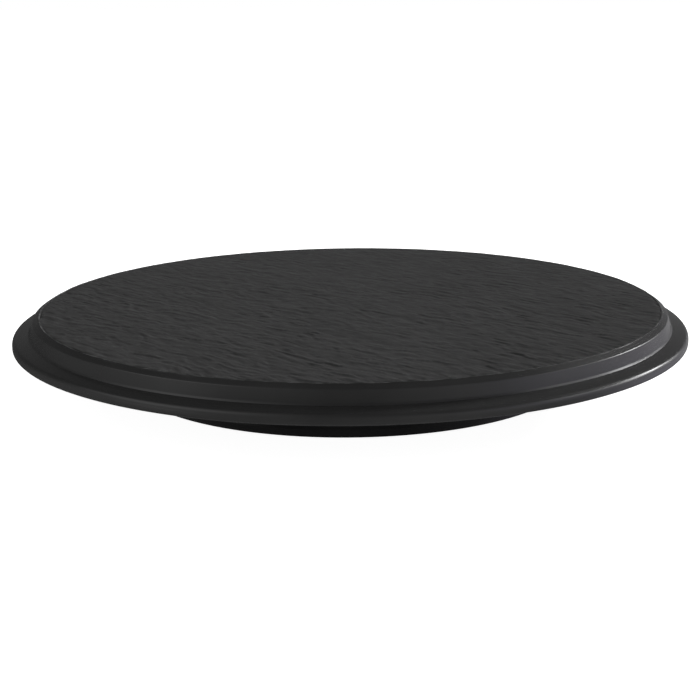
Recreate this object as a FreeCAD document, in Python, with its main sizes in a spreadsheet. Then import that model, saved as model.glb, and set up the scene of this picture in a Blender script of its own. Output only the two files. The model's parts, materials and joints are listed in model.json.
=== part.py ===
"""A low revolving serving table: a moulded plate on a ball bearing over a round base.

Millimetres, +Z up, origin on the table surface under the middle of the turning axis.
From the bottom up: rubber feet, ribbed base with its skirt, lower race, balls in their cage, upper race,
turning disc, moulded plate. A flanged spindle through a bush holds the turning half down on the base.
"""

import FreeCAD
import Part
import math
import os
import Sketcher
from FreeCAD import Placement, Rotation, Vector
from types import SimpleNamespace

BALLS = 16
SCREWS = 6
FEET = 6
RIBS = 12
HEX = 6

# Driving dimensions: radii, heights above the table and thicknesses.
DIMENSIONS = {
    # moulded plate, from its middle outwards and then back underneath
    "plate_radius": 190.0,
    "plate_top": 43.1,
    "plate_wall": 4.7,
    "field_radius": 175.3,
    "shoulder_radius": 178.5,
    "shoulder_top": 40.9,
    "flare_radius": 180.55,
    "flare_top": 35.0,
    "root_radius": 181.15,
    "root_top": 34.05,
    "lip_top": 32.1,
    "lip_bottom": 27.0,
    "lip_flat_radius": 188.0,
    "brim_inner_radius": 177.2,
    "brim_inner_bottom": 29.0,
    "recess_radius": 173.6,
    "plate_boss_circle": 62.0,
    "plate_boss_radius": 7.0,
    # edge roundings
    "field_round": 0.5,
    "shoulder_round": 1.0,
    "flare_round": 1.2,
    "root_round": 0.3,
    "lip_top_round": 3.0,
    "lip_bottom_round": 1.2,
    "recess_round": 2.5,
    "base_round": 1.2,
    # threaded inserts in the plate's bosses
    "insert_radius": 3.6,
    "insert_length": 5.0,
    # turning disc
    "disc_radius": 122.0,
    "disc_bottom": 30.6,
    "disc_top": 33.6,
    "disc_rim": 2.5,
    "disc_rim_bottom": 23.6,
    "disc_ring_radius": 106.0,
    "disc_ring_top": 36.6,
    "disc_boss_radius": 4.5,
    "disc_boss_top": 38.0,
    # ball bearing
    "ball_radius": 4.0,
    "ball_height": 25.3,
    "track_radius": 96.0,
    "track_half_width": 8.0,
    "groove_gap": 0.1,
    "race_thickness": 1.2,
    "race_depth": 3.2,
    "race_inner_radius": 79.0,
    "race_screw_circle": 83.5,
    "cage_thickness": 2.8,
    "cage_half_width": 7.6,
    "cage_pocket_gap": 0.3,
    # base
    "base_radius": 129.0,
    "base_foot_radius": 126.0,
    "base_bottom": 1.2,
    "base_flare_top": 6.0,
    "base_wall": 2.8,
    "base_wall_top": 28.2,
    "deck_bottom": 17.0,
    "deck_top": 20.0,
    "hub_radius": 15.0,
    "hub_bottom": 11.5,
    "rib_thickness": 2.2,
    "rib_overlap": 0.6,
    "inner_ring_radius": 41.0,
    "middle_ring_radius": 68.0,
    "outer_ring_radius": 94.5,
    "base_boss_radius": 4.5,
    "base_boss_bottom": 11.0,
    # feet
    "foot_circle": 110.0,
    "foot_radius": 9.0,
    "foot_height": 3.4,
    "foot_round": 1.0,
    "foot_stem_radius": 3.2,
    "foot_stem_top": 9.0,
    "foot_boss_radius": 10.5,
    # pivot
    "spindle_radius": 6.0,
    "spindle_flange_radius": 11.0,
    "spindle_flange": 2.4,
    "spindle_bottom": 6.4,
    "spindle_chamfer": 1.0,
    "bush_radius": 9.0,
    "bush_flange_radius": 13.5,
    "bush_flange": 1.6,
    "bush_bottom": 11.2,
    "washer_radius": 12.0,
    "washer_thickness": 1.2,
    "clip_radius": 9.2,
    "clip_thickness": 1.2,
    "clip_groove_radius": 4.8,
    # fasteners
    "screw_radius": 2.0,
    "screw_head_radius": 3.9,
    "screw_head_height": 2.5,
    "screw_length": 7.6,
    "race_screw_radius": 1.45,
    "race_screw_head_radius": 2.9,
    "race_screw_head_height": 1.8,
    "race_screw_length": 7.6,
    "socket_radius": 1.3,
    "socket_depth": 1.1,
    # clearances
    "running_gap": 0.05,
    "seat_gap": 0.02,
    "thread_gap": 0.05,
    "hole_gap": 0.25,
    "blind_gap": 0.4,
}


class Size:
    """A length in millimetres together with the sheet expression that gives it."""

    def __init__(self, value, text):
        self.value = value
        self.text = text

    def join(self, sign, other, value):
        other_text = other.text if isinstance(other, Size) else str(other)
        return Size(value, f"({self.text} {sign} {other_text})")

    def __add__(self, other):
        return self.join("+", other, self.value + number(other))

    def __sub__(self, other):
        return self.join("-", other, self.value - number(other))

    def __mul__(self, other):
        return self.join("*", other, self.value * number(other))

    def __truediv__(self, other):
        return self.join("/", other, self.value / number(other))

    def __neg__(self):
        return self * -1


def number(length):
    """The plain value of a Size, or a plain number as it is."""
    return length.value if isinstance(length, Size) else length


document = FreeCAD.newDocument("revolving_serving_table")
sheet = document.addObject("Spreadsheet::Sheet", "Dimensions")
for row, (alias, millimetres) in enumerate(DIMENSIONS.items(), start=1):
    sheet.set(f"A{row}", alias)
    sheet.set(f"B{row}", str(millimetres))
    sheet.setAlias(f"B{row}", alias)
document.recompute()

size = SimpleNamespace(**{a: Size(v, f"Dimensions.{a}") for a, v in DIMENSIONS.items()})
parts = []


def new_body(label):
    """A body that is exported as one node of the object."""
    body = document.addObject("PartDesign::Body", label)
    body.Label = label
    body.AllowCompound = True
    parts.append(body)
    return body


def origin_feature(body, role):
    """One of the planes or axes of a body's own origin."""
    return next(f for f in body.Origin.OriginFeatures if f.Role == role)


def new_sketch(body, name, role, height=None, degrees=0):
    """A sketch on an origin plane of its own body, turned and raised to height if one is given."""
    sketch = body.newObject("Sketcher::SketchObject", name)
    sketch.AttachmentSupport = [(origin_feature(body, role), "")]
    sketch.MapMode = "FlatFace"
    sketch.AttachmentOffset = Placement(Vector(0, 0, 0), Rotation(Vector(0, 0, 1), degrees))
    if height is not None:
        sketch.setExpression("AttachmentOffset.Base.z", height.text)
    return sketch


def dimension(sketch, kind, length, *where):
    """Adds a dimension to a sketch and binds it to the sheet."""
    index = sketch.addConstraint(Sketcher.Constraint(kind, *where, length.value))
    sketch.setExpression(f"Constraints[{index}]", length.text)


def pin(sketch, edge, end, x, y):
    """Places one end of a sketch edge at (x, y); a plain 0 pins it to an axis."""
    for kind, axis, distance in (("DistanceX", -2, x), ("DistanceY", -1, y)):
        if isinstance(distance, Size):
            dimension(sketch, kind, distance, -1, 1, edge, end)
        else:
            sketch.addConstraint(Sketcher.Constraint("PointOnObject", edge, end, axis))


def outline(sketch, points):
    """A closed outline of straight lines through (x, y) points."""
    spots = [Vector(number(x), number(y), 0) for x, y in points]
    for index, spot in enumerate(spots):
        sketch.addGeometry(Part.LineSegment(spot, spots[(index + 1) % len(spots)]), False)
    for index in range(len(spots)):
        after = (index + 1) % len(spots)
        sketch.addConstraint(Sketcher.Constraint("Coincident", index, 2, after, 1))
    for index, (x, y) in enumerate(points):
        pin(sketch, index, 1, x, y)


def turned(body, kind, name, points, degrees=360):
    """Adds or cuts a solid of revolution about Z; its outline is in (radius, height)."""
    sketch = new_sketch(body, name + "_outline", "XZ_Plane")
    outline(sketch, points)
    feature = body.newObject("PartDesign::" + kind, name)
    feature.Profile = sketch
    feature.ReferenceAxis = (sketch, ["V_Axis"])
    feature.Angle = degrees
    document.recompute()
    return feature


def revolve(body, name, points, degrees=360):
    """Adds a solid of revolution about Z."""
    return turned(body, "Revolution", name, points, degrees)


def circle(body, name, radius, distance, height):
    """A sketch of one circle at a distance from the turning axis, along X."""
    sketch = new_sketch(body, name + "_circle", "XY_Plane", height)
    centre = Vector(number(distance), 0, 0)
    sketch.addGeometry(Part.Circle(centre, Vector(0, 0, 1), radius.value), False)
    pin(sketch, 0, 3, distance, 0)
    dimension(sketch, "Radius", radius, 0)
    return sketch


def post(body, name, radius, distance, low, high):
    """Adds one round post from low to high."""
    feature = body.newObject("PartDesign::Pad", name)
    feature.Profile = circle(body, name, radius, distance, low)
    feature.setExpression("Length", (high - low).text)
    document.recompute()
    return feature


def cut_upwards(body, name, sketch, length):
    """Pockets a sketch upwards, and checks that it took material away."""
    before = body.Shape.Volume
    feature = body.newObject("PartDesign::Pocket", name)
    feature.Profile = sketch
    feature.Reversed = True
    feature.setExpression("Length", length.text)
    document.recompute()
    if feature.Shape.Volume >= before:
        raise RuntimeError(f"{name} cut nothing from {body.Label}")
    return feature


def hole(body, name, radius, distance, low, high):
    """Cuts one round hole from low to high."""
    return cut_upwards(body, name, circle(body, name, radius, distance, low), high - low)


def hex_socket(body, name, distance, low, depth):
    """Cuts a hexagonal socket upwards from low."""
    sketch = new_sketch(body, name + "_hexagon", "XY_Plane", low)
    corners = []
    for step in range(HEX):
        angle = math.radians(30 + 60 * step)
        x = size.socket_radius * math.cos(angle) + distance
        y = size.socket_radius * math.sin(angle)
        corners.append((x, y))
    outline(sketch, corners)
    return cut_upwards(body, name, sketch, depth)


def repeat(body, name, features, count):
    """Repeats features round the turning axis."""
    pattern = body.newObject("PartDesign::PolarPattern", name)
    pattern.Originals = features
    pattern.Axis = (origin_feature(body, "Z_Axis"), [""])
    pattern.Angle = 360
    pattern.Occurrences = count
    document.recompute()
    body.Tip = pattern
    document.recompute()


def is_ring(edge, radius, height):
    """Whether an edge is a level circle of this radius at this height."""
    curve = edge.Curve
    if not isinstance(curve, Part.Circle):
        return False
    return abs(curve.Radius - radius) < 1e-3 and abs(curve.Center.z - height) < 1e-3


def soften(body, name, radius, *rings):
    """Fillets the ring edges that lie at the given (radius, height) pairs."""
    found = []
    base = body.Tip
    for ring_radius, height in rings:
        for index, edge in enumerate(body.Shape.Edges, start=1):
            if is_ring(edge, ring_radius.value, height.value):
                found.append(f"Edge{index}")
    if len(found) != len(rings):
        raise RuntimeError(f"{name}: found {len(found)} of {len(rings)} edges")
    feature = body.newObject("PartDesign::Fillet", name)
    feature.Base = (base, found)
    feature.setExpression("Radius", radius.text)
    document.recompute()


def turn(body, degrees):
    """Turns a whole body about the turning axis."""
    body.Placement = Placement(Vector(0, 0, 0), Rotation(Vector(0, 0, 1), degrees))


# ---- turning half ------------------------------------------------------------------------------

def serving_plate():
    """One moulding: flat field, sloping shoulder, steep wall with a flared foot, brim, bosses underneath."""
    body = new_body("serving_plate")
    inner_top = size.plate_top - size.plate_wall
    revolve(
        body,
        "plate_moulding",
        [
            (0, size.plate_top),
            (size.field_radius, size.plate_top),
            (size.shoulder_radius, size.shoulder_top),
            (size.flare_radius, size.flare_top),
            (size.root_radius, size.root_top),
            (size.plate_radius, size.lip_top),
            (size.plate_radius, size.lip_bottom),
            (size.lip_flat_radius, size.lip_bottom),
            (size.brim_inner_radius, size.brim_inner_bottom),
            (size.recess_radius, inner_top),
            (0, inner_top),
        ],
    )
    soften(body, "field_edge", size.field_round, (size.field_radius, size.plate_top))
    soften(body, "shoulder_edge", size.shoulder_round, (size.shoulder_radius, size.shoulder_top))
    soften(body, "flare_edge", size.flare_round, (size.flare_radius, size.flare_top))
    soften(body, "root_edge", size.root_round, (size.root_radius, size.root_top))
    soften(body, "lip_top_edge", size.lip_top_round, (size.plate_radius, size.lip_top))
    soften(body, "lip_bottom_edge", size.lip_bottom_round, (size.plate_radius, size.lip_bottom))
    soften(
        body,
        "recess_edges",
        size.recess_round,
        (size.brim_inner_radius, size.brim_inner_bottom),
        (size.recess_radius, inner_top),
    )
    boss = post(
        body,
        "plate_boss",
        size.plate_boss_radius,
        size.plate_boss_circle,
        size.disc_top,
        inner_top + size.rib_overlap,
    )
    bore = hole(
        body,
        "insert_bore",
        size.insert_radius + size.seat_gap,
        size.plate_boss_circle,
        size.disc_top,
        size.disc_top + size.insert_length + size.blind_gap,
    )
    repeat(body, "plate_bosses", [boss, bore], SCREWS)


def plate_inserts():
    """Brass inserts, one in each boss of the plate, that take the disc's screws."""
    body = new_body("plate_inserts")
    top = size.disc_top + size.insert_length
    insert = post(body, "insert", size.insert_radius, size.plate_boss_circle, size.disc_top, top)
    thread = size.screw_radius + size.thread_gap
    bore = hole(body, "insert_thread", thread, size.plate_boss_circle, size.disc_top, top)
    repeat(body, "insert_ring", [insert, bore], SCREWS)


def turning_disc():
    """The disc that carries the plate; its rim hangs inside the base's wall and keeps crumbs out."""
    body = new_body("turning_disc")
    bore = size.spindle_radius + size.seat_gap
    rim_inner = size.disc_radius - size.disc_rim
    revolve(
        body,
        "disc",
        [
            (bore, size.disc_bottom),
            (rim_inner, size.disc_bottom),
            (rim_inner, size.disc_rim_bottom),
            (size.disc_radius, size.disc_rim_bottom),
            (size.disc_radius, size.disc_top),
            (bore, size.disc_top),
        ],
    )
    revolve(
        body,
        "stiffening_ring",
        [
            (size.disc_ring_radius, size.disc_top - size.rib_overlap),
            (size.disc_ring_radius + size.rib_thickness, size.disc_top - size.rib_overlap),
            (size.disc_ring_radius + size.rib_thickness, size.disc_ring_top),
            (size.disc_ring_radius, size.disc_ring_top),
        ],
    )
    boss = post(
        body,
        "race_boss",
        size.disc_boss_radius,
        size.race_screw_circle,
        size.disc_top - size.rib_overlap,
        size.disc_boss_top,
    )
    race_hole = hole(
        body,
        "race_screw_hole",
        size.race_screw_radius + size.thread_gap,
        size.race_screw_circle,
        size.disc_bottom,
        size.disc_bottom - size.race_thickness + size.race_screw_length + size.blind_gap,
    )
    plate_hole = hole(
        body,
        "plate_screw_hole",
        size.screw_radius + size.hole_gap,
        size.plate_boss_circle,
        size.disc_bottom,
        size.disc_top,
    )
    repeat(body, "disc_holes", [boss, race_hole, plate_hole], SCREWS)


def pan_screws(label, distance, seat, radius, head_radius, head_height, length, heads_down):
    """A ring of pan-head screws, as separate solids. seat is the height under their heads."""
    body = new_body(label)
    if heads_down:
        head_low, head_high = seat - head_height, seat
        shank_low, shank_high = seat - size.rib_overlap, seat + length
    else:
        head_low, head_high = seat, seat + head_height
        shank_low, shank_high = seat - length, seat + size.rib_overlap
    head = post(body, "head", head_radius, distance, head_low, head_high)
    shank = post(body, "shank", radius, distance, shank_low, shank_high)
    socket_low = head_low if heads_down else head_high - size.socket_depth
    socket = hex_socket(body, "socket", distance, socket_low, size.socket_depth)
    repeat(body, "screw_ring", [head, shank, socket], SCREWS)
    return body


def disc_screws():
    """Machine screws up through the disc into the plate's inserts."""
    pan_screws(
        "disc_screws",
        size.plate_boss_circle,
        size.disc_bottom,
        size.screw_radius,
        size.screw_head_radius,
        size.screw_head_height,
        size.screw_length,
        heads_down=True,
    )


def race(label, back, direction):
    """A race: flat flange for its screws and a raised track with a round groove.

    back is the height of the face it is screwed down on; direction is 1 for a race that faces up.
    """
    body = new_body(label)
    flange = back + size.race_thickness * direction
    face = back + size.race_depth * direction
    track_inner = size.track_radius - size.track_half_width
    track_outer = size.track_radius + size.track_half_width
    revolve(
        body,
        "track",
        [
            (size.race_inner_radius, back),
            (track_outer, back),
            (track_outer, face),
            (track_inner, face),
            (track_inner, flange),
            (size.race_inner_radius, flange),
        ],
    )
    before = body.Shape.Volume
    sketch = new_sketch(body, "groove_circle", "XZ_Plane")
    centre = Vector(size.track_radius.value, size.ball_height.value, 0)
    radius = size.ball_radius + size.groove_gap
    sketch.addGeometry(Part.Circle(centre, Vector(0, 0, 1), radius.value), False)
    pin(sketch, 0, 3, size.track_radius, size.ball_height)
    dimension(sketch, "Radius", radius, 0)
    groove = body.newObject("PartDesign::Groove", "ball_groove")
    groove.Profile = sketch
    groove.ReferenceAxis = (sketch, ["V_Axis"])
    groove.Angle = 360
    document.recompute()
    if groove.Shape.Volume >= before:
        raise RuntimeError(f"the groove cut nothing from {label}")
    screw_hole = hole(
        body,
        "screw_hole",
        size.race_screw_radius + size.hole_gap,
        size.race_screw_circle,
        min(back, flange, key=number),
        max(back, flange, key=number),
    )
    repeat(body, "screw_holes", [screw_hole], SCREWS)
    return body


def race_screws(label, seat, heads_down):
    """Self-tapping screws through a race's flange."""
    return pan_screws(
        label,
        size.race_screw_circle,
        seat,
        size.race_screw_radius,
        size.race_screw_head_radius,
        size.race_screw_head_height,
        size.race_screw_length,
        heads_down,
    )


def upper_bearing():
    """The race under the turning disc, facing down, and its screws."""
    race("upper_race", size.disc_bottom, -1)
    race_screws("upper_race_screws", size.disc_bottom - size.race_thickness, heads_down=True)


def spindle():
    """Flanged pin pressed through the disc, with a groove near its foot for the clip."""
    body = new_body("spindle")
    groove_top = size.bush_bottom - size.running_gap - size.washer_thickness
    groove_bottom = groove_top - size.clip_thickness - size.running_gap
    foot_radius = size.spindle_radius - size.spindle_chamfer
    revolve(
        body,
        "pin",
        [
            (0, size.spindle_bottom),
            (foot_radius, size.spindle_bottom),
            (size.spindle_radius, size.spindle_bottom + size.spindle_chamfer),
            (size.spindle_radius, groove_bottom),
            (size.clip_groove_radius, groove_bottom),
            (size.clip_groove_radius, groove_top),
            (size.spindle_radius, groove_top),
            (size.spindle_radius, size.disc_top),
            (size.spindle_flange_radius, size.disc_top),
            (size.spindle_flange_radius, size.disc_top + size.spindle_flange),
            (0, size.disc_top + size.spindle_flange),
        ],
    )


def flat_ring(label, inner, outer, low, high, degrees=360):
    """A flat ring in a body of its own; fewer degrees leave it open."""
    body = new_body(label)
    revolve(body, "ring", [(inner, low), (outer, low), (outer, high), (inner, high)], degrees)
    return body


def spindle_fastening():
    """Washer under the bush and the open clip that holds it there."""
    washer_top = size.bush_bottom - size.running_gap
    washer_bottom = washer_top - size.washer_thickness
    washer_bore = size.spindle_radius + size.running_gap
    flat_ring("spindle_washer", washer_bore, size.washer_radius, washer_bottom, washer_top)
    clip = flat_ring(
        "spindle_clip",
        size.clip_groove_radius + size.seat_gap,
        size.clip_radius,
        washer_bottom - size.clip_thickness,
        washer_bottom,
        degrees=300,
    )
    turn(clip, 30)


# ---- ball set ----------------------------------------------------------------------------------

def ball_cage():
    """Flat ring that keeps the balls apart; it turns at half the plate's speed."""
    low = size.ball_height - size.cage_thickness / 2
    high = size.ball_height + size.cage_thickness / 2
    inner = size.track_radius - size.cage_half_width
    outer = size.track_radius + size.cage_half_width
    body = flat_ring("ball_cage", inner, outer, low, high)
    radius = size.ball_radius + size.cage_pocket_gap
    pocket = hole(body, "pocket", radius, size.track_radius, low, high)
    repeat(body, "pockets", [pocket], BALLS)


def balls():
    """One ball in each pocket of the cage."""
    for index in range(BALLS):
        degrees = 360 * index / BALLS
        ball = document.addObject("Part::Sphere", f"ball_{index + 1:02d}")
        ball.Label = ball.Name
        ball.setExpression("Radius", size.ball_radius.text)
        ball.setExpression("Placement.Base.x", f"{size.track_radius.text} * cos({degrees} deg)")
        ball.setExpression("Placement.Base.y", f"{size.track_radius.text} * sin({degrees} deg)")
        ball.setExpression("Placement.Base.z", size.ball_height.text)
        parts.append(ball)


# ---- base --------------------------------------------------------------------------------------

def base_shell():
    """Deck with an outer wall above and a skirt below, ribbed underneath, with bosses and a hub."""
    body = new_body("base_shell")
    bore = size.bush_radius + size.seat_gap
    inner = size.base_radius - size.base_wall
    foot_inner = size.base_foot_radius - size.base_wall
    revolve(
        body,
        "deck_and_wall",
        [
            (bore, size.deck_top),
            (inner, size.deck_top),
            (inner, size.base_wall_top),
            (size.base_radius, size.base_wall_top),
            (size.base_radius, size.base_flare_top),
            (size.base_foot_radius, size.base_bottom),
            (foot_inner, size.base_bottom),
            (inner, size.base_flare_top),
            (inner, size.deck_bottom),
            (size.hub_radius, size.deck_bottom),
            (size.hub_radius, size.hub_bottom),
            (bore, size.hub_bottom),
        ],
    )
    soften(
        body,
        "wall_edges",
        size.base_round,
        (size.base_radius, size.base_wall_top),
        (inner, size.base_wall_top),
        (size.base_foot_radius, size.base_bottom),
    )
    rib_top = size.deck_bottom + size.rib_overlap
    for radius in (size.inner_ring_radius, size.middle_ring_radius, size.outer_ring_radius):
        ring_outer = radius + size.rib_thickness
        revolve(
            body,
            "ring_rib",
            [
                (radius, size.foot_height),
                (ring_outer, size.foot_height),
                (ring_outer, rib_top),
                (radius, rib_top),
            ],
        )
    skirt = inner + size.rib_overlap
    ribs(body, "long_rib", size.hub_radius - size.rib_overlap, skirt, rib_top, degrees=180 / RIBS)
    ribs(body, "short_rib", size.middle_ring_radius + size.rib_overlap, skirt, rib_top, degrees=0)
    foot_seats = [
        post(body, "foot_boss", size.foot_boss_radius, size.foot_circle, size.foot_height, rib_top),
        hole(
            body,
            "foot_hole",
            size.foot_stem_radius + size.running_gap,
            size.foot_circle,
            size.foot_height,
            size.foot_stem_top + size.blind_gap,
        ),
    ]
    repeat(body, "foot_bosses", foot_seats, FEET)
    race_seats = [
        post(
            body,
            "race_boss",
            size.base_boss_radius,
            size.race_screw_circle,
            size.base_boss_bottom,
            rib_top,
        ),
        hole(
            body,
            "race_screw_hole",
            size.race_screw_radius + size.thread_gap,
            size.race_screw_circle,
            size.deck_top + size.race_thickness - size.race_screw_length - size.blind_gap,
            size.deck_top,
        ),
    ]
    repeat(body, "race_bosses", race_seats, SCREWS)
    return body


def ribs(body, name, start, end, top, degrees):
    """Straight ribs under the deck, evenly spaced; degrees turns the first one from X."""
    sketch = new_sketch(body, name + "_outline", "XY_Plane", size.foot_height, degrees)
    half = size.rib_thickness / 2
    outline(sketch, [(start, -half), (end, -half), (end, half), (start, half)])
    rib = body.newObject("PartDesign::Pad", name)
    rib.Profile = sketch
    rib.setExpression("Length", (top - size.foot_height).text)
    document.recompute()
    repeat(body, name + "_ring", [rib], RIBS)


def lower_bearing():
    """The race on the base's deck, facing up, and its screws."""
    race("lower_race", size.deck_top, 1)
    race_screws("lower_race_screws", size.deck_top + size.race_thickness, heads_down=False)


def pivot_bush():
    """Flanged plain bush pressed into the base's hub."""
    bore = size.spindle_radius + size.running_gap
    revolve(
        new_body("pivot_bush"),
        "bush",
        [
            (bore, size.bush_bottom),
            (size.bush_radius, size.bush_bottom),
            (size.bush_radius, size.deck_top),
            (size.bush_flange_radius, size.deck_top),
            (size.bush_flange_radius, size.deck_top + size.bush_flange),
            (bore, size.deck_top + size.bush_flange),
        ],
    )


def feet():
    """Round rubber feet, each with a stem in its boss."""
    for index in range(FEET):
        body = new_body(f"foot_{index + 1}")
        revolve(
            body,
            "foot",
            [
                (0, 0),
                (size.foot_radius, 0),
                (size.foot_radius, size.foot_height),
                (size.foot_stem_radius, size.foot_height),
                (size.foot_stem_radius, size.foot_stem_top),
                (0, size.foot_stem_top),
            ],
        )
        soften(body, "foot_edge", size.foot_round, (size.foot_radius, Size(0, "0")))
        degrees = 360 * index / FEET
        body.setExpression("Placement.Base.x", f"{size.foot_circle.text} * cos({degrees} deg)")
        body.setExpression("Placement.Base.y", f"{size.foot_circle.text} * sin({degrees} deg)")


def check(item):
    """Stops the build if a feature did not come out."""
    if "Invalid" in item.State or "Error" in item.State:
        raise RuntimeError(f"{item.Name} failed: {item.State}")


serving_plate()
plate_inserts()
turning_disc()
disc_screws()
upper_bearing()
spindle()
spindle_fastening()
ball_cage()
balls()
base_shell()
lower_bearing()
pivot_bush()
feet()

document.recompute()
for item in document.Objects:
    check(item)
for part in parts:
    if part.Shape.isNull() or not part.Shape.isValid():
        raise RuntimeError(f"{part.Label} has no valid shape")

os.makedirs("parts", exist_ok=True)
for part in parts:
    part.Shape.exportStep(os.path.join("parts", part.Label + ".step"))
    box = part.Shape.BoundBox
    print(
        f"{part.Label}: {len(part.Shape.Solids)} solids, {part.Shape.Volume:.1f} mm3,",
        f"z {box.ZMin:.2f} to {box.ZMax:.2f}, r {box.XMax:.2f}",
    )
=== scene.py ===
"""A low black revolving serving table on a white surface. Comments give the units of lengths."""

import json
import math

import bpy
import numpy as np
from mathutils import Matrix, Vector


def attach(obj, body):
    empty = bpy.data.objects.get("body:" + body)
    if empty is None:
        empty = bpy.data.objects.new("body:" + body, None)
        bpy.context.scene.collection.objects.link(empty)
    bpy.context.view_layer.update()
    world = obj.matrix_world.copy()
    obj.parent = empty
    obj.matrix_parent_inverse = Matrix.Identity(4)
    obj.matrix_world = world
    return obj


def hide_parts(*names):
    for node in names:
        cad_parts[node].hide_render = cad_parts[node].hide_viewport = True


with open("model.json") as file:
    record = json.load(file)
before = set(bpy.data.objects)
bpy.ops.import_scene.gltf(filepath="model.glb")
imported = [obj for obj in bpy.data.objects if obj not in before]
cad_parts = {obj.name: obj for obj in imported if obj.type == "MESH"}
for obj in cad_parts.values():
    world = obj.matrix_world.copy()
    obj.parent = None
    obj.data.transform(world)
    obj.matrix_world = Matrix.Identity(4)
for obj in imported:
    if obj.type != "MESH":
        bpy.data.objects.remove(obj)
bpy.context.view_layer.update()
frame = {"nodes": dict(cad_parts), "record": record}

MM = 0.001

# The plate, in millimetres from the turning axis and above the table.
TOP = 43.1
FIELD_RADIUS = 175.3
SHOULDER = (178.5, 40.9)
FLARE = (180.55, 35.0)
ROOT = (181.15, 34.05)
LIP_TOP = (190.0, 32.1)
LIP_BOTTOM = (190.0, 27.0)
LIP_FLAT = (188.0, 27.0)
BRIM_INNER = (177.2, 29.0)
RECESS = (173.6, 38.4)
BOSS_CIRCLE = 62.0
BOSS_RADIUS = 7.0
BOSS_BORE = 3.62
BOSS_FOOT = 33.6
BORE_TOP = 39.0
BOSSES = 6
BOSS_SIDES = 48
BOSS_BEVEL = 0.3
BOSS_LET_IN = 0.5
UNDERSIDE_RING = 150.0

# The field's mesh, in millimetres: rows along the grain out to a circle, then rings of points.
GRID_RADIUS = 174.0
ROW_SPACING = 0.6
POINT_SPACING = 2.3
AROUND = 480
EDGE_RINGS = (174.3, 174.6, 174.85, 175.1, FIELD_RADIUS, 175.5, 175.9, 177.0)
CORNER_STEPS = 5

# Light: what the room gives to dull surfaces, the least it shows to shiny ones, the floor's own glow.
ROOM_LIGHT = 0.60
ROOM_REFLECTION = 0.04
FLOOR_GLOW = 0.95
# The key lamp, with bearing, elevation and width in degrees.
KEY_BEARING = 125
KEY_ELEVATION = 20
KEY_WIDTH = 14
KEY_STRENGTH = 6.2
# Soft lights seen in reflections: bearing and elevation in degrees, sharpness, strength, colour.
VIOLET = (0.94, 0.91, 1.06)
WHITE = (1.0, 1.0, 1.0)
SOFT_LIGHTS = (
    (124, 24, 300, 27.5, WHITE),
    (112, 22, 200, 8.2, WHITE),
    (130, 11, 150, 1.4, WHITE),
    (120, 40, 60, 0.6, WHITE),
    (101, 24, 120, 2.2, WHITE),
    (83, 31, 80, 1.6, WHITE),
    (69, 17, 15, 0.63, VIOLET),
    (99, 9, 20, 0.30, VIOLET),
    (35, 22, 20, 0.23, WHITE),
    (0, 24, 20, 0.05, WHITE),
    (-35, 22, 20, 0.08, WHITE),
    (-68, 17, 15, 0.15, WHITE),
    (-99, 9, 20, 0.10, WHITE),
    (-75, 36, 60, 0.25, WHITE),
    (-68, 45, 14, 0.75, WHITE),
    (-100, 42, 60, 0.45, WHITE),
    (137, -3, 40, 0.08, WHITE),
    (152, -8, 60, 0.28, WHITE),
    (139, 34, 80, 0.12, WHITE),
    (180, 12, 15, 0.16, WHITE),
    (-62, -2, 25, 0.40, WHITE),
    (50, -2, 25, 0.15, WHITE),
    (112, -12, 8, 0.55, VIOLET),
    (-105, -14, 8, 0.09, WHITE),
    (180, -38, 12, 0.12, WHITE),
)

# The slate relief, in millimetres. The grain runs from the back left to the front right.
GRAIN_ANGLE = math.radians(-45)
GRAIN_BEND = 12
GRAIN_WANDER = 4
DEEPEST = 1.0
# How strong the relief is in the middle, and how much that grows with each millimetre to the front.
RELIEF_STRENGTH = 1.12
FRONT_STRONGER = 0.0022
# Ledges, then smaller ones that are so many times finer and have a share of the height.
LEDGE_SPACING = 10.5
LEDGE_HEIGHT = 0.36
FINE_LEDGE_SCALE = 1.6
FINE_LEDGE_SHARE = 0.4
# Thin layers: how many, how thick each is, and the share of a layer that its edge's slope takes.
TERRACES = 6.0
TERRACE_STEP = 0.09
TERRACE_SLOPE = 0.25
# Low waves over all of it.
SWELL = 0.07
RIPPLE = 0.06

# The field's edge, in millimetres: a small step down to the shoulder, a thin ridge, then a groove.
# RIDGE_RELIEF is the share of the relief that is left on the ridge; the last pair gives the band, inward
# from the edge, where a painted highlight makes the ridge pale.
EDGE_STEP = 0.2
EDGE_RAGGED = 0.5
STEP_WIDTH = 0.3
RIDGE_WIDTH = 0.2
RIDGE_BLEND = 0.7
RIDGE_RELIEF = 0.1
GROOVE_INWARD = 0.95
GROOVE_HALF_WIDTH = 0.6
GROOVE_DEPTH = 0.55
# Inward distances in millimetres where the ridge's painted highlight starts and where it is full.
RIDGE_HIGHLIGHT_BAND = (1.1, 0.7)
SHOULDER_SLOPE = (TOP - EDGE_STEP - SHOULDER[1]) / (SHOULDER[0] - FIELD_RADIUS)

# The slate's tones: charcoal from dark to light, the pale tone of the ridge's painted highlight, and the
# streaks' angle in degrees.
CHARCOAL = (0.0228, 0.031)
RIDGE_HIGHLIGHT_TONE = 0.065
STREAK_ANGLE = -50

# The camera and the floor: angles in degrees, places in metres, lens and sensor in millimetres.
CAMERA_ELEVATION = 14.19
CAMERA_ROLL = -0.56
CAMERA_DISTANCE = 0.809
CAMERA_TARGET = (-0.00021, 0, 0.0142)
CAMERA_LENS = 71.794
CAMERA_SENSOR = 36
CAMERA_REACH = 200
FLOOR_HALF = 30.0


# ---- relief: numbers that look random but are the same every time -----------------------------------

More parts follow.
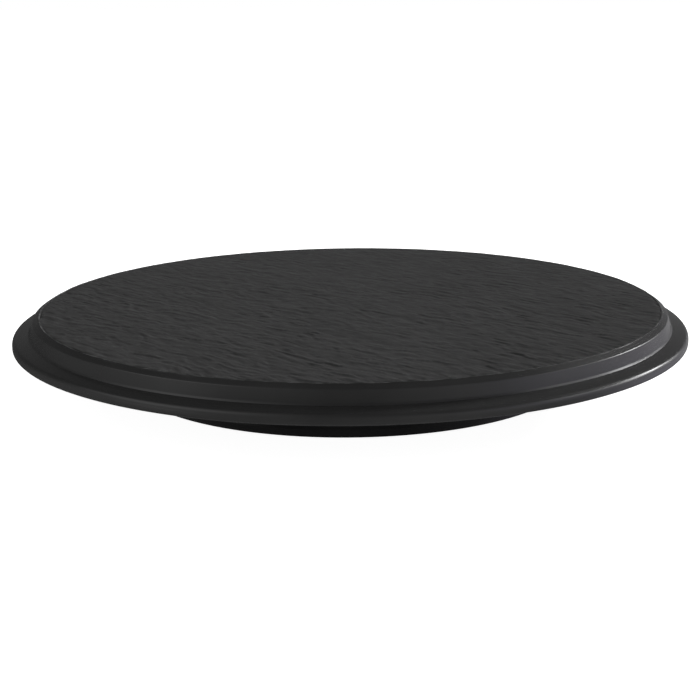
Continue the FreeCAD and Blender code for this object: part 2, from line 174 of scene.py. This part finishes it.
def lattice(ix, iy, seed):
    """A repeatable number from 0 to 1 for each whole-number point."""
    mixed = (ix * 374761393 + iy * 668265263 + seed * 982451653) & 0xFFFFFFFF
    mixed = ((mixed ^ (mixed >> 13)) * 1274126177) & 0xFFFFFFFF
    mixed = mixed ^ (mixed >> 16)
    return (mixed & 0xFFFF) / 65535.0


def smooth_noise(x, y, seed):
    """Smoothly varying numbers from 0 to 1, about one bump per unit."""
    ix = np.floor(x).astype(np.int64)
    iy = np.floor(y).astype(np.int64)
    fx = x - ix
    fy = y - iy
    fx = fx * fx * fx * (fx * (fx * 6 - 15) + 10)
    fy = fy * fy * fy * (fy * (fy * 6 - 15) + 10)
    near = lattice(ix, iy, seed) * (1 - fx) + lattice(ix + 1, iy, seed) * fx
    far = lattice(ix, iy + 1, seed) * (1 - fx) + lattice(ix + 1, iy + 1, seed) * fx
    return near * (1 - fy) + far * fy


def ledges(along, across, width, seed):
    """Height of broken ledges that rise slowly towards the front left and then drop.

    width is the share of each ledge that its drop takes. The divisors are lengths in millimetres.
    """
    steps = -across / LEDGE_SPACING
    steps = steps + 1.3 * smooth_noise(along / 18, across / 9, seed)
    steps = steps + 0.6 * smooth_noise(along / 7, across / 5, seed + 1)
    saw = steps - np.floor(steps)
    rise = np.clip(saw / (1 - width), 0, 1) ** 3
    drop = np.clip((saw - 1 + width) / width, 0, 1)
    broken = np.clip(smooth_noise(along / 8, across / 6, seed + 2) * 3.6 - 1.3, 0, 1)
    cluster = 0.35 + 1.3 * smooth_noise(along / 34, across / 22, seed + 3)
    return (rise - drop) * broken * cluster


def terraces(along, across):
    """Height in whole steps with short slopes between them, like the layers of split slate."""
    broad = smooth_noise(along / 30, across / 10, 40)
    fine = smooth_noise(along / 7, across / 3.4, 41)
    level = TERRACES * (0.6 * broad + 0.4 * fine)
    whole = np.floor(level)
    return whole + np.clip((level - whole - 1 + TERRACE_SLOPE) / TERRACE_SLOPE, 0, 1)


def slate_depth(x, y):
    """How far the riven surface lies below the plate's top, in millimetres, from 0 to DEEPEST."""
    bend = GRAIN_BEND * (smooth_noise(x / 60, y / 60, 1) - 0.5)
    wander = GRAIN_WANDER * (smooth_noise(x / 24, y / 24, 2) - 0.5)
    along = x * math.cos(GRAIN_ANGLE) + y * math.sin(GRAIN_ANGLE)
    across = -x * math.sin(GRAIN_ANGLE) + y * math.cos(GRAIN_ANGLE) + bend + wander
    fine = ledges(FINE_LEDGE_SCALE * along + 31, FINE_LEDGE_SCALE * across, 0.38, 8)
    height = LEDGE_HEIGHT * (ledges(along, across, 0.32, 3) + FINE_LEDGE_SHARE * fine)
    swell = SWELL * smooth_noise(along / 38, across / 20, 12)
    ripple = RIPPLE * smooth_noise(along / 8, across / 5, 13)
    layers = TERRACE_STEP * (TERRACES - terraces(along, across))
    strength = RELIEF_STRENGTH * (1 - FRONT_STRONGER * y)
    return np.clip(strength * (layers - height) - swell - ripple, 0, DEEPEST)


def cone_height(radius):
    """Height of the plain cone from just outside the field's edge to the shoulder."""
    return TOP - EDGE_STEP - np.maximum(radius - FIELD_RADIUS, 0) * SHOULDER_SLOPE


def edge_height(x, y):
    """Height of the top: the slate relief, then a ragged groove, a thin ridge, a step and the cone."""
    radius = np.hypot(x, y)
    ragged = EDGE_RAGGED * (smooth_noise(x / 5, y / 5, 20) - 0.5)
    inward = FIELD_RADIUS - radius + ragged
    groove = np.clip(1 - abs(inward - GROOVE_INWARD) / GROOVE_HALF_WIDTH, 0, 1)
    groove = GROOVE_DEPTH * groove * smooth_noise(x / 14, y / 14, 21)
    flat = np.clip((inward - RIDGE_WIDTH) / RIDGE_BLEND, RIDGE_RELIEF, 1)
    step = EDGE_STEP * np.clip((RIDGE_WIDTH - inward) / STEP_WIDTH, 0, 1)
    surface = TOP - slate_depth(x, y) * flat - groove - step
    outside = np.minimum(surface, cone_height(radius) + EDGE_STEP * (inward > 0))
    return np.where(radius > FIELD_RADIUS, outside, surface)


# ---- meshes ---------------------------------------------------------------------------------------

def rounded(corners):
    """The (r, z) outline through (point, radius) corners; a radius of 0 keeps the corner sharp."""
    out = []
    for index, (point, radius) in enumerate(corners):
        if radius == 0:
            out.append(point)
            continue
        corner = np.array(point, float)
        before = np.array(corners[index - 1][0], float) - corner
        after = np.array(corners[index + 1][0], float) - corner
        before /= np.linalg.norm(before)
        after /= np.linalg.norm(after)
        half = math.acos(float(np.clip(before @ after, -1, 1))) / 2
        middle = before + after
        middle /= np.linalg.norm(middle)
        centre = corner + middle * radius / math.sin(half)
        start = corner + before * radius / math.tan(half) - centre
        sweep = math.pi - 2 * half
        turn = 1 if start[0] * after[1] - start[1] * after[0] > 0 else -1
        for step in range(CORNER_STEPS + 1):
            angle = turn * sweep * step / CORNER_STEPS
            cosine, sine = math.cos(angle), math.sin(angle)
            out.append((
                centre[0] + cosine * start[0] - sine * start[1],
                centre[1] + sine * start[0] + cosine * start[1],
            ))
    return out


def mesh_object(name, points_mm, faces, body):
    """A smooth-shaded mesh piece that rides a body."""
    mesh = bpy.data.meshes.new(name)
    mesh.from_pydata((np.asarray(points_mm) * MM).tolist(), [], faces)
    mesh.validate()
    mesh.polygons.foreach_set("use_smooth", [True] * len(mesh.polygons))
    piece = bpy.data.objects.new(name, mesh)
    bpy.context.scene.collection.objects.link(piece)
    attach(piece, body)
    return piece


def strip(lower, upper, lower_at, upper_at):
    """Triangles between two runs of points, always stepping on along the run that is behind."""
    faces = []
    i = j = 0
    while i < len(lower) - 1 or j < len(upper) - 1:
        at_end = j == len(upper) - 1
        if at_end or (i < len(lower) - 1 and lower_at[i + 1] <= upper_at[j + 1]):
            faces.append((lower[i], lower[i + 1], upper[j]))
            i += 1
        else:
            faces.append((lower[i], upper[j + 1], upper[j]))
            j += 1
    return faces


def ring_quads(lower, upper, count):
    """Quads between two rings of count points that start at points lower and upper."""
    return [
        (lower + step, upper + step, upper + (step + 1) % count, lower + (step + 1) % count)
        for step in range(count)
    ]


def field_rows():
    """Points and triangles of a round field in rows along the grain, and its edge points in order."""
    rows, places, points, faces = [], [], [], []
    last = int(GRID_RADIUS / ROW_SPACING - 0.3)
    for number in range(-last, last + 1):
        across = number * ROW_SPACING
        half = math.sqrt(GRID_RADIUS ** 2 - across ** 2)
        inner = int(half / POINT_SPACING - 0.4)
        along = [-half, *(step * POINT_SPACING for step in range(-inner, inner + 1)), half]
        rows.append(range(len(points), len(points) + len(along)))
        places.append(along)
        points.extend((step, across) for step in along)
    for lower, upper, lower_at, upper_at in zip(rows, rows[1:], places, places[1:]):
        faces.extend(strip(lower, upper, lower_at, upper_at))
    edge = [row[-1] for row in rows] + list(rows[-1][-2:0:-1])
    edge += [row[0] for row in reversed(rows)] + list(rows[0][1:-1])
    cosine, sine = math.cos(GRAIN_ANGLE), math.sin(GRAIN_ANGLE)
    turned = np.array(points) @ np.array([[cosine, sine], [-sine, cosine]])
    return turned, faces, edge


def rim_outline():
    """The (r, z) outline from the shoulder over the rim and under it to the flat underside."""
    last_ring = EDGE_RINGS[-1]
    corners = [
        ((last_ring, cone_height(last_ring)), 0),
        (SHOULDER, 1.0),
        (FLARE, 1.2),
        (ROOT, 0.3),
        (LIP_TOP, 3.0),
        (LIP_BOTTOM, 1.2),
        (LIP_FLAT, 0),
        (BRIM_INNER, 2.5),
        (RECESS, 2.5),
        ((UNDERSIDE_RING, RECESS[1]), 0),
    ]
    return rounded(corners)[1:]


def add_bosses(points, faces):
    """Bosses with blind bores under the field, each let into the plate's underside."""
    outline = [
        (BOSS_RADIUS, RECESS[1] + BOSS_LET_IN),
        (BOSS_RADIUS, BOSS_FOOT + BOSS_BEVEL),
        (BOSS_RADIUS - BOSS_BEVEL, BOSS_FOOT),
        (BOSS_BORE, BOSS_FOOT),
        (BOSS_BORE, BORE_TOP),
    ]
    spots = np.arange(BOSS_SIDES) * (2 * math.pi / BOSS_SIDES)
    start = sum(len(block) for block in points)
    for boss in range(BOSSES):
        turn = 2 * math.pi * boss / BOSSES
        first = start
        for radius, height in outline:
            points.append(np.column_stack([
                BOSS_CIRCLE * math.cos(turn) + radius * np.cos(spots),
                BOSS_CIRCLE * math.sin(turn) + radius * np.sin(spots),
                np.full(BOSS_SIDES, height),
            ]))
            if start > first:
                faces.extend(ring_quads(start - BOSS_SIDES, start, BOSS_SIDES))
            start += BOSS_SIDES
        faces.append(tuple(range(start - BOSS_SIDES, start)))
        faces.append(tuple(reversed(range(first, first + BOSS_SIDES))))


def serving_plate():
    """The plate as one mesh: field, edge rings, rim, underside and bosses, in two materials."""
    flat, faces, edge = field_rows()
    points = [np.column_stack([flat, edge_height(flat[:, 0], flat[:, 1])])]
    turns = np.arctan2(flat[edge, 1], flat[edge, 0]) % (2 * math.pi)
    first = int(np.argmin(turns))
    edge = edge[first:] + edge[:first] + [edge[first]]
    turns = [*np.roll(turns, -first), turns[first] + 2 * math.pi]
    angles = np.arange(AROUND) * (2 * math.pi / AROUND)
    cosines, sines = np.cos(angles), np.sin(angles)
    outer = [len(flat) + step % AROUND for step in range(AROUND + 1)]
    faces.extend(strip(outer, edge, [*angles, 2 * math.pi], turns))
    rim_from = len(faces) + EDGE_RINGS.index(FIELD_RADIUS) * AROUND

    rings = []
    for radius in EDGE_RINGS:
        x, y = radius * cosines, radius * sines
        rings.append(np.column_stack([x, y, edge_height(x, y)]))
    for radius, height in rim_outline():
        rings.append(np.column_stack([radius * cosines, radius * sines, np.full(AROUND, height)]))
    points.extend(rings)
    start = len(flat)
    for _ in rings[1:]:
        faces.extend(ring_quads(start, start + AROUND, AROUND))
        start += AROUND
    middle = start + AROUND
    points.append(np.array([[0, 0, RECESS[1]]]))
    faces.extend((start + step, middle, start + (step + 1) % AROUND) for step in range(AROUND))
    add_bosses(points, faces)

    piece = mesh_object("serving_plate_moulding", np.vstack(points), faces, "turntable")
    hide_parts("serving_plate")
    materials = [0] * rim_from + [1] * (len(faces) - rim_from)
    piece.data.materials.append(slate_melamine())
    piece.data.materials.append(smooth_melamine())
    piece.data.polygons.foreach_set("material_index", materials)


# ---- materials ------------------------------------------------------------------------------------

def grey(value):
    """A colour with the same red, green and blue."""
    return (value, value, value)


class Nodes:
    """A new material with one Principled shader, and short ways to add nodes to it."""

    def __init__(self, name, **sockets):
        self.material = bpy.data.materials.new(name)
        self.material.use_nodes = True
        self.tree = self.material.node_tree
        self.shader = self.tree.nodes["Principled BSDF"]
        for socket, value in sockets.items():
            self.shader.inputs[socket.replace("_", " ")].default_value = value
        self.place = self.add("ShaderNodeTexCoord").outputs["Object"]

    def add(self, kind, **settings):
        node = self.tree.nodes.new(kind)
        for key, value in settings.items():
            setattr(node, key, value)
        return node

    def link(self, output, target):
        self.tree.links.new(output, target)

    def stretched(self, scale, degrees=0.0):
        """Object coordinates turned about Z and then scaled."""
        mapping = self.add("ShaderNodeMapping", vector_type="TEXTURE")
        mapping.inputs["Rotation"].default_value = (0, 0, math.radians(degrees))
        mapping.inputs["Scale"].default_value = [1 / s for s in scale]
        self.link(self.place, mapping.inputs["Vector"])
        return mapping.outputs["Vector"]

    def noise(self, vector, scale, detail=3.0, roughness=0.55, distortion=0.0):
        node = self.add("ShaderNodeTexNoise")
        node.inputs["Scale"].default_value = scale
        node.inputs["Detail"].default_value = detail
        node.inputs["Roughness"].default_value = roughness
        node.inputs["Distortion"].default_value = distortion
        self.link(vector, node.inputs["Vector"])
        return node.outputs["Fac"]

    def spread(self, value, low, high, start=0.3, end=0.7):
        """Maps a 0 to 1 value onto low to high."""
        node = self.add("ShaderNodeMapRange")
        node.inputs["From Min"].default_value = start
        node.inputs["From Max"].default_value = end
        node.inputs["To Min"].default_value = low
        node.inputs["To Max"].default_value = high
        self.link(value, node.inputs["Value"])
        return node.outputs["Result"]

    def colours(self, value, low, high, start=0.3, end=0.7):
        """Maps a 0 to 1 value onto two colours."""
        ramp = self.add("ShaderNodeValToRGB")
        ramp.color_ramp.elements[0].position = start
        ramp.color_ramp.elements[1].position = end
        ramp.color_ramp.elements[0].color = (*low, 1)
        ramp.color_ramp.elements[1].color = (*high, 1)
        self.link(value, ramp.inputs["Fac"])
        return ramp.outputs["Color"]

    def maths(self, operation, first, second):
        node = self.add("ShaderNodeMath", operation=operation)
        for socket, value in zip(node.inputs, (first, second)):
            if isinstance(value, (int, float)):
                socket.default_value = value
            else:
                self.link(value, socket)
        return node.outputs["Value"]

    def bump(self, height, millimetres, strength=1.0):
        """Bump from a 0 to 1 height that stands for so many millimetres."""
        node = self.add("ShaderNodeBump")
        node.inputs["Strength"].default_value = strength
        node.inputs["Distance"].default_value = millimetres * MM
        self.link(height, node.inputs["Height"])
        self.link(node.outputs["Normal"], self.shader.inputs["Normal"])

    def use(self, output, socket):
        self.link(output, self.shader.inputs[socket])


def slate_melamine():
    """The field: matt charcoal with fine riven grain along the relief, and a painted highlight in broken
    dashes that makes its ridge paler.
    """
    made = Nodes("slate_melamine", Specular_IOR_Level=0.3)
    grain = made.stretched((110, 330, 110), math.degrees(GRAIN_ANGLE))
    riven = made.noise(grain, 1.0, detail=5, roughness=0.6, distortion=0.6)
    patches = made.noise(made.place, 22, detail=3)
    specks = made.noise(made.place, 900, detail=2)
    flat = made.add("ShaderNodeVectorMath", operation="MULTIPLY")
    flat.inputs[1].default_value = (1, 1, 0)
    made.link(made.place, flat.inputs[0])
    radius = made.add("ShaderNodeVectorMath", operation="LENGTH")
    made.link(flat.outputs["Vector"], radius.inputs[0])
    # The ridge's painted highlight: a pale band near the field's edge, broken into dashes by noise and
    # mixed over the charcoal.
    start, end = ((FIELD_RADIUS - inward) * MM for inward in RIDGE_HIGHLIGHT_BAND)
    ridge = made.spread(radius.outputs["Value"], 0, 1, start, end)
    highlight_dashes = made.spread(made.noise(made.place, 160, detail=4), 0, 1, 0.46, 0.58)
    painted_highlight = made.maths("MULTIPLY", ridge, highlight_dashes)
    mix = made.add("ShaderNodeMix", data_type="RGBA")
    made.link(painted_highlight, mix.inputs["Factor"])
    streaks = made.stretched((125, 480, 125), STREAK_ANGLE)
    streaks = made.noise(streaks, 1.0, detail=3, roughness=0.6)
    tone = made.maths("ADD", streaks, made.maths("MULTIPLY", patches, 0.3))
    dark, light = CHARCOAL
    made.link(made.colours(tone, grey(dark), grey(light), 0.5, 0.8), mix.inputs["A"])
    mix.inputs["B"].default_value = (*grey(RIDGE_HIGHLIGHT_TONE), 1)
    made.use(mix.outputs["Result"], "Base Color")
    made.use(made.spread(riven, 0.5, 0.66), "Roughness")
    made.bump(made.maths("ADD", riven, made.maths("MULTIPLY", specks, 0.12)), 0.14)
    return made.material


def smooth_melamine():
    """Shoulder, wall, brim and underside: the same moulding with a smooth satin skin."""
    made = Nodes("smooth_melamine", Specular_IOR_Level=0.5)
    cloud = made.noise(made.place, 30, detail=3)
    skin = made.noise(made.place, 700, detail=3)
    made.use(made.colours(cloud, grey(0.019), grey(0.0225)), "Base Color")
    made.use(made.spread(cloud, 0.2, 0.25), "Roughness")
    made.bump(skin, 0.008)
    return made.material


def mottled(name, low, high, rough, scale, bump_mm, **sockets):
    """Two mottled tones, uneven roughness and a little bump."""
    made = Nodes(name, **sockets)
    cloud = made.noise(made.place, scale, detail=3)
    skin = made.noise(made.place, scale * 14, detail=3)
    made.use(made.colours(cloud, low, high), "Base Color")
    made.use(made.spread(cloud, *rough), "Roughness")
    made.bump(skin, bump_mm)
    return made.material


def turned_steel(name, low, high, rough):
    """Steel with fine rings about the turning axis."""
    made = Nodes(name, Metallic=1.0)
    wave = made.add("ShaderNodeTexWave", wave_type="RINGS", rings_direction="Z")
    wave.inputs["Scale"].default_value = 260
    wave.inputs["Distortion"].default_value = 1.5
    wave.inputs["Detail"].default_value = 2
    made.link(made.place, wave.inputs["Vector"])
    cloud = made.noise(made.place, 60, detail=4)
    made.use(made.colours(cloud, low, high), "Base Color")
    made.use(made.spread(cloud, *rough), "Roughness")
    made.bump(wave.outputs["Fac"], 0.01, strength=0.5)
    return made.material


def metal_balls_and_screws():
    """The small polished or plated metal parts, by material slot."""
    ball = ("ball_steel", (0.66, 0.66, 0.67), (0.74, 0.74, 0.75), (0.06, 0.12), 200, 0.001)
    screw = ("screw_zinc", (0.50, 0.49, 0.44), (0.62, 0.61, 0.56), (0.25, 0.4), 220, 0.004)
    brass = ("insert_brass", (0.60, 0.43, 0.17), (0.72, 0.54, 0.24), (0.25, 0.38), 220, 0.004)
    looks = {"ball_steel": ball, "screw_steel": screw, "insert_brass": brass}
    return {slot: mottled(*look, Metallic=1.0) for slot, look in looks.items()}


def dress_nodes():
    """Gives every carried-over CAD node its material; the plate's node has its own visual mesh."""
    base = mottled("base_black", (0.003, 0.003, 0.0032), (0.0045, 0.0045, 0.0047), (0.14, 0.2), 26, 0.006)
    disc = mottled("disc_black", (0.016, 0.016, 0.017), (0.022, 0.022, 0.023), (0.42, 0.55), 40, 0.02)
    rubber = mottled("foot_rubber", grey(0.014), (0.024, 0.024, 0.023), (0.72, 0.85), 90, 0.04)
    race = turned_steel("race_steel", (0.50, 0.50, 0.48), (0.62, 0.62, 0.60), (0.28, 0.42))
    pin = turned_steel("spindle_steel", (0.52, 0.52, 0.53), (0.64, 0.64, 0.65), (0.2, 0.32))
    nylon = mottled("cage_nylon", (0.66, 0.64, 0.57), (0.74, 0.72, 0.66), (0.38, 0.5), 50, 0.01)
    nylon.node_tree.nodes["Principled BSDF"].inputs["Subsurface Weight"].default_value = 0.05
    by_slot = {
        "base_plastic": base,
        "disc_plastic": disc,
        "foot_rubber": rubber,
        "race_steel": race,
        "spindle_steel": pin,
        "cage_nylon": nylon,
        **metal_balls_and_screws(),
    }
    for entry in frame["record"]["subparts"]:
        slot = entry["material_slot"]
        if slot == "plate_melamine":
            continue
        node = frame["nodes"][entry["node"]]
        node.data.materials.clear()
        node.data.materials.append(by_slot[slot])


# ---- studio ---------------------------------------------------------------------------------------

def bearing_vector(bearing, elevation):
    """Unit vector for a bearing in degrees: 0 is the camera's side, 90 its right hand."""
    turn, rise = math.radians(bearing), math.radians(elevation)
    flat = math.cos(rise)
    return Vector((flat * math.sin(turn), -flat * math.cos(turn), math.sin(rise)))


def room_reflections(tree):
    """Background that is a sum of soft round lights, each brightest at its bearing."""
    coordinates = tree.nodes.new("ShaderNodeTexCoord")

    def vector_step(operation, inputs):
        """A vector node whose numbered inputs are linked or set."""
        step = tree.nodes.new("ShaderNodeVectorMath")
        step.operation = operation
        for number, value in inputs.items():
            if hasattr(value, "is_output"):
                tree.links.new(value, step.inputs[number])
            else:
                step.inputs[number].default_value = value
        return step

    total = grey(ROOM_REFLECTION)
    for bearing, elevation, sharpness, strength, colour in SOFT_LIGHTS:
        toward = bearing_vector(bearing, elevation)
        facing = vector_step("DOT_PRODUCT", {0: coordinates.outputs["Generated"], 1: toward})
        value = facing.outputs["Value"]
        for operation, operand in (("MAXIMUM", 0.0), ("POWER", sharpness)):
            step = tree.nodes.new("ShaderNodeMath")
            step.operation = operation
            step.inputs[1].default_value = operand
            tree.links.new(value, step.inputs[0])
            value = step.outputs["Value"]
        glow = vector_step("SCALE", {0: [strength * part for part in colour], 3: value})
        total = vector_step("ADD", {0: glow.outputs["Vector"], 1: total}).outputs["Vector"]
    background = tree.nodes.new("ShaderNodeBackground")
    tree.links.new(total, background.inputs["Color"])
    return background


def plain_background(tree, strength):
    """Even white light from all round."""
    background = tree.nodes.new("ShaderNodeBackground")
    background.inputs["Color"].default_value = (1, 1, 1, 1)
    background.inputs["Strength"].default_value = strength
    return background


def white_floor():
    """A plain floor that glows white and doesn't show in the plate's shine."""
    corners = [(-FLOOR_HALF, -FLOOR_HALF, 0), (FLOOR_HALF, -FLOOR_HALF, 0)]
    corners += [(FLOOR_HALF, FLOOR_HALF, 0), (-FLOOR_HALF, FLOOR_HALF, 0)]
    mesh = bpy.data.meshes.new("floor")
    mesh.from_pydata(corners, [], [(0, 1, 2, 3)])
    floor = bpy.data.objects.new("floor", mesh)
    bpy.context.scene.collection.objects.link(floor)
    made = Nodes("floor_white", Roughness=0.9, Specular_IOR_Level=0.0)
    made.shader.inputs["Emission Color"].default_value = (1, 1, 1, 1)
    made.shader.inputs["Emission Strength"].default_value = FLOOR_GLOW
    cloud = made.noise(made.place, 3, detail=2)
    made.use(made.colours(cloud, grey(0.5), grey(0.52)), "Base Color")
    floor.data.materials.append(made.material)
    floor.visible_glossy = False


def studio():
    """White room: even light on dull surfaces, soft lights in the reflections, plain white behind."""
    scene = bpy.context.scene
    scene.view_settings.view_transform = "Standard"
    world = bpy.data.worlds.new("studio")
    scene.world = world
    world.use_nodes = True
    world.cycles.sampling_method = "NONE"
    tree = world.node_tree
    path = tree.nodes.new("ShaderNodeLightPath")
    seen = plain_background(tree, ROOM_LIGHT).outputs[0]
    for ray, background in (
        ("Is Glossy Ray", room_reflections(tree)),
        ("Is Camera Ray", plain_background(tree, 1.0)),
    ):
        mix = tree.nodes.new("ShaderNodeMixShader")
        tree.links.new(path.outputs[ray], mix.inputs[0])
        tree.links.new(seen, mix.inputs[1])
        tree.links.new(background.outputs[0], mix.inputs[2])
        seen = mix.outputs[0]
    tree.links.new(seen, tree.nodes["World Output"].inputs["Surface"])


def key_light():
    """A soft lamp from the right and behind that rakes across the field's relief."""
    light = bpy.data.lights.new("key", "SUN")
    light.angle = math.radians(KEY_WIDTH)
    light.energy = KEY_STRENGTH
    lamp = bpy.data.objects.new("key", light)
    lamp.location = bearing_vector(KEY_BEARING, KEY_ELEVATION)
    lamp.rotation_euler = lamp.location.to_track_quat("Z", "Y").to_euler()
    lamp.visible_glossy = False
    bpy.context.scene.collection.objects.link(lamp)


def camera():
    """The camera looks from the front, a little above the table."""
    elevation = math.radians(CAMERA_ELEVATION)
    data = bpy.data.cameras.new("camera")
    data.sensor_width = CAMERA_SENSOR
    data.lens = CAMERA_LENS
    data.clip_end = CAMERA_REACH
    item = bpy.data.objects.new("camera", data)
    bpy.context.scene.collection.objects.link(item)
    back = Vector((0, -math.cos(elevation), math.sin(elevation)))
    item.matrix_world = (
        Matrix.Translation(Vector(CAMERA_TARGET) + CAMERA_DISTANCE * back)
        @ Matrix.Rotation(math.pi / 2 - elevation, 4, "X")
        @ Matrix.Rotation(math.radians(CAMERA_ROLL), 4, "Z")
    )
    bpy.context.scene.camera = item


serving_plate()
dress_nodes()
white_floor()
studio()
key_light()
camera()
